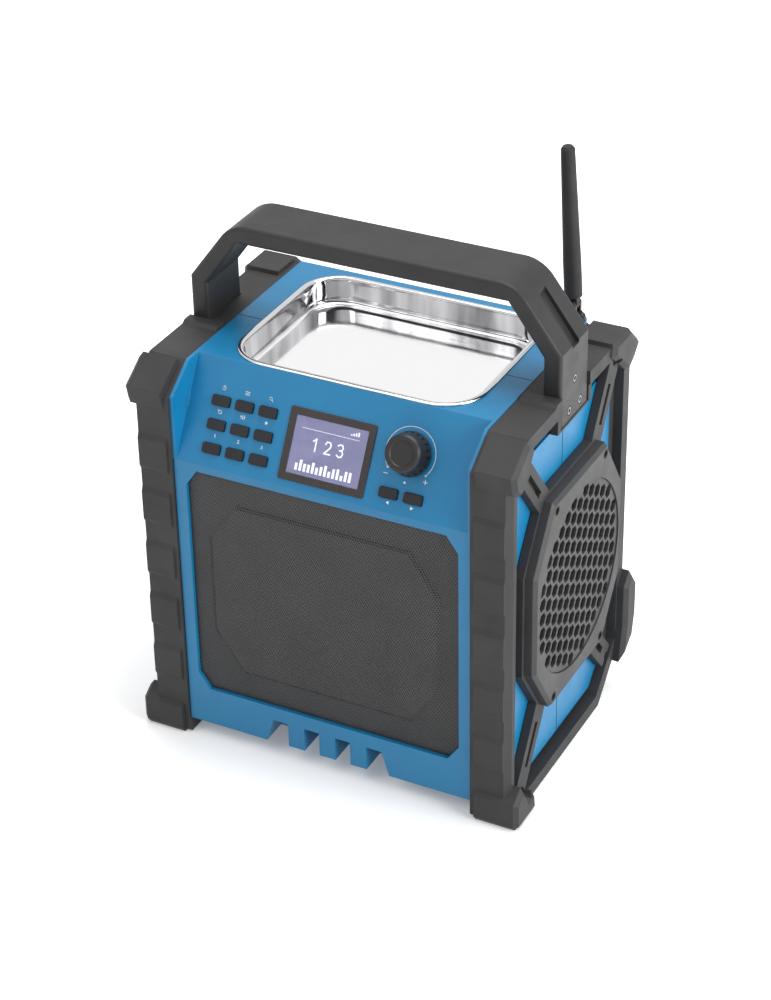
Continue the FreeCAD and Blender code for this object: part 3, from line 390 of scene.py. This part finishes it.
def printing(bm):
    """Digits and generic signs over the keys, and the scale round the knob."""
    for digit, x in zip("123", DIGIT_COLUMNS):
        for line in DIGITS[digit]:
            stroke(bm, [(x + a * DIGIT_SIZE, DIGIT_ROW + b * DIGIT_SIZE) for a, b in line], 0.4)
    # power
    x, s = LEFT, UPPER
    stroke(bm, ring_points(x, s, 1.25, 125, 415, 18), 0.4)
    stroke(bm, [(x, s + 0.2), (x, s + 1.7)], 0.4)
    # list
    x = MIDDLE
    for k in (-1, 0, 1):
        stroke(bm, [(x - 1.5, s + k), (x + 1.5, s + k)], 0.35)
    # search
    x = RIGHT
    stroke(bm, ring_points(x - 0.3, s + 0.3, 0.95, 0, 360, 16), 0.36)
    stroke(bm, [(x + 0.4, s - 0.4), (x + 1.4, s - 1.4)], 0.4)
    # back
    x, s = LEFT, LOWER
    stroke(bm, [(x + 1.6, s + 0.8), (x - 1.3, s + 0.8)], 0.36)
    stroke(bm, [(x - 0.5, s + 1.6), (x - 1.4, s + 0.8), (x - 0.5, s)], 0.36)
    stroke(bm, [(x + 1.6, s + 0.8), (x + 1.6, s - 0.9), (x - 0.8, s - 0.9)], 0.36)
    # sliders
    x = MIDDLE
    for k, rise in ((-1.2, 0.5), (0, -0.5), (1.2, 0.2)):
        stroke(bm, [(x + k, s - 1.3), (x + k, s + 1.3)], 0.3)
        stroke(bm, [(x + k - 0.4, s + rise), (x + k + 0.4, s + rise)], 0.5)
    # star
    x = RIGHT
    tips = [(math.pi * k / 5, 0.65 if k % 2 else 1.5) for k in range(10)]
    plate(bm, [(x + radius * math.sin(turn), s + radius * math.cos(turn)) for turn, radius in tips])
    # skip signs under their keys
    for x, way in ((48.4, -1), (65.6, 1)):
        plate(bm, [(x + way * 1.3, 6.4), (x - way * 0.9, 7.6), (x - way * 0.9, 5.2)])
    # the volume scale round the knob, with a minus, a dot and a plus
    arc = ring_points(*SCALE_CENTRE, SCALE_RADIUS, 220, -40, 40)
    stroke(bm, arc, 0.42)
    for x, s in (arc[0], arc[-1]):
        plate(bm, ring_points(x, s, 0.75, 0, 330, 11))
    stroke(bm, [(41.6, 24.6), (44.2, 24.6)], 0.45)
    stroke(bm, [(69.8, 24.6), (72.4, 24.6)], 0.45)
    stroke(bm, [(71.1, 23.3), (71.1, 25.9)], 0.45)
    plate(bm, ring_points(57.2, 21.4, 0.8, 0, 330, 11))


piece("panel_printing", "chassis", ink, printing)

# Marks on the screen, in panel millimetres

LIT = (0.72, 0.03)


def bar(bm, left, right, low, high):
    """An upright or lying bar on the screen."""
    plate(bm, [(left, low), (right, low), (right, high), (left, high)], LIT)


def screen_marks(bm):
    """Plain level bars, a thin line, four rising steps and three digits: nothing is written out."""
    for k in range(14):
        x = -20.5 + k * 3.0
        tall = 3.0 + 4.2 * abs(math.sin(1.1 * k + 0.4))
        bar(bm, x, x + 1.9, 12.5, 12.5 + tall)
    bar(bm, -21, 21, 40.2, 40.5)
    for k in range(4):
        x = 14.0 + k * 1.7
        bar(bm, x, x + 1.1, 42.6, 43.4 + k * 0.7)
    for digit, x in zip("123", (-9, 0, 9)):
        for line in DIGITS[digit]:
            stroke(bm, [(x + a * 3.6, 31.0 + b * 4.2) for a, b in line], 1.0, LIT)


piece("screen_marks", "chassis", marks, screen_marks)


# The pressed steel tray, with rolled rim and round floor edge, in millimetres

TRAY_SIDE, TRAY_FRONT, TRAY_BACK, TRAY_CORNER = 86.5, -57.5, 74.0, 26.0
SHEET = 0.5
# how far each ring stands outside the tray's outline, and its height, from the rim to the floor
TRAY_SECTION = [
    (2.9, 287.35), (3.0, 287.9), (2.7, 288.45), (2.0, 288.8), (1.0, 288.9), (0.0, 288.7), (-0.7, 288.0),
    (-1.0, 286.8), (-1.1, 284.0), (-1.3, 276.0), (-1.6, 273.0), (-2.4, 271.2), (-3.8, 270.1), (-5.6, 269.75),
]
WALL_START = 7
RIM_INSIDE = (1.0, 287.35)


def round_rectangle(x0, x1, y0, y1, radius, steps=10):
    """Points of a rectangle with round corners, anticlockwise."""
    corners = (
        (x1 - radius, y0 + radius, -90), (x1 - radius, y1 - radius, 0),
        (x0 + radius, y1 - radius, 90), (x0 + radius, y0 + radius, 180),
    )
    return [point for x, y, start in corners for point in ring_points(x, y, radius, start, start + 90, steps)]


def tray_shape(bm):
    """A closed skin: the section's rings outside in, the floor, and the same again a sheet under it."""
    under = [(grow + SHEET, height - SHEET) for grow, height in reversed(TRAY_SECTION[WALL_START:])]
    rings = []
    for grow, height in TRAY_SECTION + under + [RIM_INSIDE]:
        outline = round_rectangle(
            -TRAY_SIDE - grow, TRAY_SIDE + grow, TRAY_FRONT - grow, TRAY_BACK + grow, TRAY_CORNER + grow
        )
        rings.append([bm.verts.new((x / 1000, y / 1000, height / 1000)) for x, y in outline])
    for count, (outer, inner) in enumerate(zip(rings, rings[1:] + rings[:1]), start=1):
        if count == len(TRAY_SECTION):
            bm.faces.new(outer)
            bm.faces.new(list(reversed(inner)))
        else:
            skin(bm, outer, inner)


tray = piece("pressed_tray", "chassis", mirror, tray_shape)
for face in tray.data.polygons:
    face.use_smooth = len(face.vertices) == 4
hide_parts("tray")


# Painted shade: thin dark strips laid along the seams between the mouldings, where the gaps are shaded, in
# metres

CORE_SIDE, BULGE_SIDE = 0.1089, 0.13
CORE_LOW, CORE_TOP = 0.0126, 0.2873
BULGE_LOW, BULGE_HIGH = 0.016, 0.2639
TOP_SEAM = (0.0895, 0.1088)


def ribbon(bm, start, end, across, out):
    """A thin closed strip between two points: across is its half-width vector, out lifts its top."""
    edges = ((-1, -1), (1, -1), (1, 1), (-1, 1))
    prism(bm, *(
        [bm.verts.new(Vector(point) + s * Vector(across) + lift * Vector(out)) for s, lift in edges]
        for point in (start, end)
    ))


def painted_seam_shadows(bm):
    """Painted shade strips beside the front's cheeks, and along the parting line on the top and down the
    sides.
    """
    for side in (-1, 1):
        start, end = ((side * CORE_SIDE, FRONT_FACE, z) for z in (CORE_LOW, CREASE_HEIGHT))
        ribbon(bm, start, end, (0.0004, 0, 0), (0, -0.00012, 0.00006))
    for side in (-1, 1):
        start, end = ((side * x, PARTING_LINE, CORE_TOP) for x in TOP_SEAM)
        ribbon(bm, start, end, (0, 0.00022, 0), (0, 0, 0.00008))
        start, end = ((side * BULGE_SIDE, PARTING_LINE, z) for z in (BULGE_LOW, BULGE_HIGH))
        ribbon(bm, start, end, (0, 0.0003, 0), (side * 0.0001, 0, 0))


piece("painted_seam_shadows", "chassis", seam_shade_paint, painted_seam_shadows)


# Painted shade rings round the screw holes, and the black cloth behind the speaker meshes, in metres

GUARD_FACE, HANDLE_FACE = 0.1445, 0.1355
GUARD_SCREWS = [(-0.0431, 0.2205), (0.0361, 0.2205), (-0.0431, 0.0745), (0.0361, 0.0745)]
HANDLE_SCREWS = [(-0.006, 0.273), (0.011, 0.273), (0.002, 0.293)]
GUARD_HOLE, HANDLE_HOLE = 0.0024, 0.0026
SHADE_RING_RADIUS, SHADE_RING_THICK = 0.0036, 0.00006
CLOTH_FACE, CLOTH_HEIGHT, CLOTH_RADIUS, CLOTH_THICK = 0.1365, 0.1475, 0.0645, 0.0004


def side_circle(bm, x, y, z, radius, steps):
    """New vertices round a circle on a side face."""
    angles = [math.tau * k / steps for k in range(steps)]
    return [bm.verts.new((x, y + radius * math.cos(a), z + radius * math.sin(a))) for a in angles]


def annulus(bm, face, y, z, inner):
    """A thin closed ring on a side face: face is its x, and its thickness points outwards."""
    top = face + math.copysign(SHADE_RING_THICK, face)
    profile = ((face, inner), (face, SHADE_RING_RADIUS), (top, SHADE_RING_RADIUS), (top, inner))
    loops = [side_circle(bm, x, y, z, radius, 24) for x, radius in profile]
    for first, second in zip(loops, loops[1:] + loops[:1]):
        skin(bm, first, second)


def painted_hole_shade_rings(bm):
    """A ring of painted shade round each screw hole of the speaker guards and the handle."""
    for side in (-1, 1):
        for y, z in GUARD_SCREWS:
            annulus(bm, side * GUARD_FACE, y, z, GUARD_HOLE)
        for y, z in HANDLE_SCREWS:
            annulus(bm, side * HANDLE_FACE, y, z, HANDLE_HOLE)


def speaker_cloth(bm):
    """A round sheet behind each of the two side speaker meshes."""
    for side in (-1, 1):
        prism(bm, *(
            side_circle(bm, side * CLOTH_FACE + side * x, PARTING_LINE, CLOTH_HEIGHT, CLOTH_RADIUS, 64)
            for x in (0.0, CLOTH_THICK)
        ))


piece("painted_hole_shade_rings", "chassis", black_screws_and_hole_shade, painted_hole_shade_rings)
piece("speaker_scrim", "chassis", cloth, speaker_cloth)


# Studio


def shows_white(tree):
    """1 for the rays that see the studio as plain white, else 0."""
    path = tree.nodes.new("ShaderNodeLightPath")
    seen = path.outputs["Is Camera Ray"]
    for kind in ("Is Glossy Ray", "Is Transmission Ray"):
        either = tree.nodes.new("ShaderNodeMath")
        either.operation = "MAXIMUM"
        tree.links.new(seen, either.inputs[0])
        tree.links.new(path.outputs[kind], either.inputs[1])
        seen = either.outputs[0]
    return seen


FLOOR_GLOW_NEAR = 0.18
FLOOR_FADE = (0.35, 1.1)


def floor():
    """A pale floor that keeps its shadow near the object and fades to plain white further out."""
    mesh = bpy.data.meshes.new("floor")
    bm = bmesh.new()
    bmesh.ops.create_grid(bm, x_segments=2, y_segments=2, size=8.0)
    bm.to_mesh(mesh)
    bm.free()
    ground = bpy.data.objects.new("floor", mesh)
    bpy.context.scene.collection.objects.link(ground)
    recipe = Recipe("floor_finish", 0.9)
    recipe.colour(recipe.mottled((0.9, 0.9, 0.9), (0.92, 0.92, 0.92), 0.6, 2))
    mesh.materials.append(recipe.material)
    recipe.shader.inputs["Emission Color"].default_value = (1, 1, 1, 1)
    reach = recipe.add("ShaderNodeVectorMath", operation="LENGTH")
    recipe.link(recipe.place, reach.inputs[0])
    fade = recipe.between(FLOOR_GLOW_NEAR, 1.0, reach.outputs["Value"], *FLOOR_FADE)
    strength = recipe.math("MULTIPLY", shows_white(recipe.tree), fade)
    recipe.link(strength, recipe.shader.inputs["Emission Strength"])


AMBIENT = 0.5


def surroundings():
    """White to the camera and in reflections, and a plain ambient light for everything else."""
    world = bpy.data.worlds.new("studio")
    bpy.context.scene.world = world
    world.use_nodes = True
    tree = world.node_tree
    tree.nodes.clear()
    output = tree.nodes.new("ShaderNodeOutputWorld")
    choose = tree.nodes.new("ShaderNodeMixShader")
    tree.links.new(shows_white(tree), choose.inputs[0])
    for strength, socket in ((AMBIENT, choose.inputs[1]), (1.0, choose.inputs[2])):
        background = tree.nodes.new("ShaderNodeBackground")
        background.inputs["Color"].default_value = (1, 1, 1, 1)
        background.inputs["Strength"].default_value = strength
        tree.links.new(background.outputs[0], socket)
    tree.links.new(choose.outputs[0], output.inputs["Surface"])


CENTRE = (0, 0, 0.18)


def lamp(name, where, size, watts):
    """A rectangular lamp aimed at the middle of the object."""
    light = bpy.data.lights.new(name, "AREA")
    light.shape = "RECTANGLE"
    light.size, light.size_y = size
    light.energy = watts
    holder = bpy.data.objects.new(name, light)
    holder.location = where
    holder.rotation_euler = (Vector(CENTRE) - Vector(where)).to_track_quat("-Z", "Y").to_euler()
    bpy.context.scene.collection.objects.link(holder)


floor()
surroundings()
lamp("key", (-0.9, -1.5, 2.1), (1.4, 1.4), 13)
lamp("side", (2.1, -0.3, 0.9), (1.2, 1.6), 50)
lamp("top", (0.1, 0.5, 2.2), (1.8, 1.2), 38)

# Camera: solved from the photograph's edges

YAW, PITCH, ROLL = (math.radians(a) for a in (27.56, 31.69, -1.14))
STAND = (0.7000, -1.3447, 1.1025)
FOCAL_LENGTH = 93.71

ahead = Vector((-math.sin(YAW) * math.cos(PITCH), math.cos(YAW) * math.cos(PITCH), -math.sin(PITCH)))
level = Vector((math.cos(YAW), math.sin(YAW), 0))
above = level.cross(ahead)
right = math.cos(ROLL) * level + math.sin(ROLL) * above
upward = -math.sin(ROLL) * level + math.cos(ROLL) * above
camera = bpy.data.objects.new("camera", bpy.data.cameras.new("camera"))
camera.data.sensor_width = 36
camera.data.sensor_fit = "AUTO"
camera.data.lens = FOCAL_LENGTH
camera.matrix_world = Matrix((
    (right.x, upward.x, -ahead.x, STAND[0]),
    (right.y, upward.y, -ahead.y, STAND[1]),
    (right.z, upward.z, -ahead.z, STAND[2]),
    (0, 0, 0, 1),
))
bpy.context.scene.collection.objects.link(camera)
bpy.context.scene.camera = camera
bpy.context.scene.view_settings.view_transform = "Standard"
